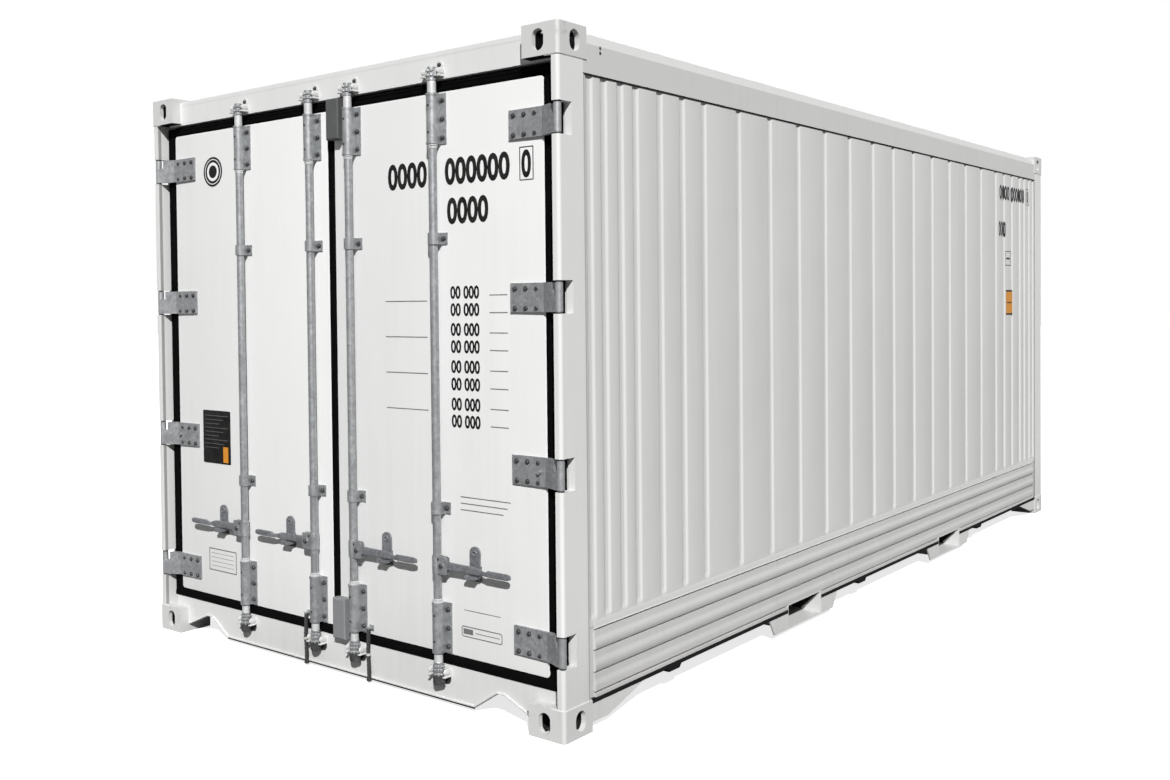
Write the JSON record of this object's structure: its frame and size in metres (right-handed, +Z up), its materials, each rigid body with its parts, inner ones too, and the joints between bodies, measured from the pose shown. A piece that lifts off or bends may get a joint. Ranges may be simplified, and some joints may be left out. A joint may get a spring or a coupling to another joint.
{
  "type": "20 ft insulated shipping container",
  "caption": "White insulated freight container with two hinged rear doors, four locking bars with handles, corner fittings and fork pockets.",
  "frame": {"origin": "on the ground at the middle of the container's plan", "axes": "+Y runs along the container from the doors to the closed end, +X to the right seen from outside the doors, +Z up"},
  "size_m": [2.438, 6.058, 2.591],
  "materials": {
    "painted_casting": "satin",
    "painted_steel": "satin",
    "painted_aluminium": "satin",
    "painted_door": "satin",
    "painted_panel": "satin",
    "bare_aluminium": "satin",
    "bare_steel": "satin",
    "galvanised_steel": "satin",
    "hinge_steel": "satin",
    "black_rubber": "matte",
    "black_rope": "matte"
  },
  "bodies": {
    "root": {"rear_left_lower_fitting": "painted_casting", "rear_right_lower_fitting": "painted_casting", "front_left_lower_fitting": "painted_casting", "front_right_lower_fitting": "painted_casting", "rear_left_upper_fitting": "painted_casting", "rear_right_upper_fitting": "painted_casting", "front_left_upper_fitting": "painted_casting", "front_right_upper_fitting": "painted_casting", "rear_left_post": "painted_steel", "front_left_post": "painted_steel", "left_top_rail": "painted_aluminium", "left_kick_rail": "painted_aluminium", "left_wall": "painted_panel", "rear_right_post": "painted_steel", "front_right_post": "painted_steel", "right_top_rail": "painted_aluminium", "right_kick_rail": "painted_aluminium", "right_wall": "painted_panel", "rear_header": "painted_steel", "rear_sill": "painted_steel", "rear_fork_pocket": "painted_steel", "front_header": "painted_steel", "front_sill": "painted_steel", "front_fork_pocket": "painted_steel", "front_wall": "painted_panel", "roof": "painted_panel", "floor_panel": "painted_panel", "floor_bars": "bare_aluminium", "hinge_pins": "bare_steel", "lock_keepers": "galvanised_steel", "cross_beams": "painted_steel", "haunches": "painted_steel", "drain_outlets": "painted_steel"},
    "left_door": {"left_door_panel": "painted_door", "left_door_gasket": "black_rubber", "left_door_hinges": "hinge_steel", "left_bar_bearings": "galvanised_steel", "left_handle_keeps": "galvanised_steel", "left_rope_hook": "galvanised_steel", "left_tie_rope": "black_rope"},
    "right_door": {"right_door_panel": "painted_door", "right_door_gasket": "black_rubber", "right_door_hinges": "hinge_steel", "right_bar_bearings": "galvanised_steel", "right_handle_keeps": "galvanised_steel", "right_rope_hook": "galvanised_steel", "right_tie_rope": "black_rope", "middle_blocks": "hinge_steel"},
    "left_inner_bar": {"left_inner_bar": "galvanised_steel"},
    "left_inner_handle": {"left_inner_handle": "galvanised_steel"},
    "left_outer_bar": {"left_outer_bar": "galvanised_steel"},
    "left_outer_handle": {"left_outer_handle": "galvanised_steel"},
    "right_inner_bar": {"right_inner_bar": "galvanised_steel"},
    "right_inner_handle": {"right_inner_handle": "galvanised_steel"},
    "right_outer_bar": {"right_outer_bar": "galvanised_steel"},
    "right_outer_handle": {"right_outer_handle": "galvanised_steel"}
  },
  "joints": [
    {"name": "left_door_swing", "type": "hinge", "parent": "root", "child": "left_door", "pos_m": [-1.199, -3.009, 1.287], "axis": [0, 0, -1], "range_deg": [0, 258]},
    {"name": "left_inner_bar_turn", "type": "hinge", "parent": "left_door", "child": "left_inner_bar", "pos_m": [-0.121, -3, 1.3], "axis": [0, 0, -1], "range_deg": [-95, 0]},
    {"name": "left_inner_handle_lift", "type": "hinge", "parent": "left_inner_bar", "child": "left_inner_handle", "pos_m": [-0.157, -3.006, 0.563], "axis": [0, -1, 0], "range_deg": [-20, 0]},
    {"name": "left_outer_bar_turn", "type": "hinge", "parent": "left_door", "child": "left_outer_bar", "pos_m": [-0.593, -3, 1.3], "axis": [0, 0, -1], "range_deg": [-95, 0]},
    {"name": "left_outer_handle_lift", "type": "hinge", "parent": "left_outer_bar", "child": "left_outer_handle", "pos_m": [-0.629, -3.006, 0.563], "axis": [0, -1, 0], "range_deg": [-20, 0]},
    {"name": "right_door_swing", "type": "hinge", "parent": "root", "child": "right_door", "pos_m": [1.199, -3.009, 1.287], "axis": [0, 0, 1], "range_deg": [0, 258]},
    {"name": "right_inner_bar_turn", "type": "hinge", "parent": "right_door", "child": "right_inner_bar", "pos_m": [0.121, -3, 1.3], "axis": [0, 0, 1], "range_deg": [-95, 0]},
    {"name": "right_inner_handle_lift", "type": "hinge", "parent": "right_inner_bar", "child": "right_inner_handle", "pos_m": [0.157, -3.006, 0.563], "axis": [0, 1, 0], "range_deg": [-20, 0]},
    {"name": "right_outer_bar_turn", "type": "hinge", "parent": "right_door", "child": "right_outer_bar", "pos_m": [0.593, -3, 1.3], "axis": [0, 0, 1], "range_deg": [-95, 0]},
    {"name": "right_outer_handle_lift", "type": "hinge", "parent": "right_outer_bar", "child": "right_outer_handle", "pos_m": [0.629, -3.006, 0.563], "axis": [0, 1, 0], "range_deg": [-20, 0]}
  ]
}
